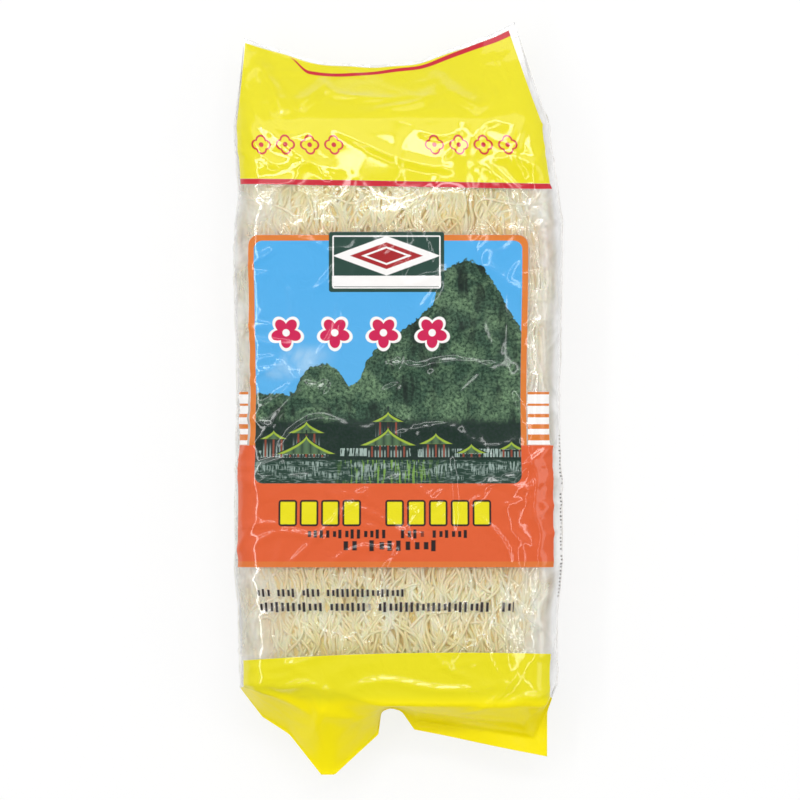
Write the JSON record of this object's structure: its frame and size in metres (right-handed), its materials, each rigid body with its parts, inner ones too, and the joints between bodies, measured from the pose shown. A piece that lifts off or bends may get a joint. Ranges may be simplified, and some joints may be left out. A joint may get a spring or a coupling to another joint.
{
  "type": "sealed pack of dried rice vermicelli",
  "caption": "Flat brick of dried rice vermicelli sealed in a clear printed film bag, with a flared film collar at the top end and two film flaps at the bottom end.",
  "frame": {"origin": "under the middle of the pack's bounding box, at the level of the table it lies on", "axes": "+X across the pack to the right of its printed front, +Y along its length to its top end, +Z out of its printed front, up from the table"},
  "size_m": [0.1352, 0.3106, 0.0464],
  "materials": {
    "printed_film": "thin clear glossy film, printed with opaque yellow bands and a coloured front panel; dried cream noodles show through its clear places",
    "rice_noodles": "dried rice noodles inside the film: cream, slightly translucent, with a soft gloss"
  },
  "bodies": {
    "root": {"sealed_bag": "printed_film"}
  },
  "joints": []
}
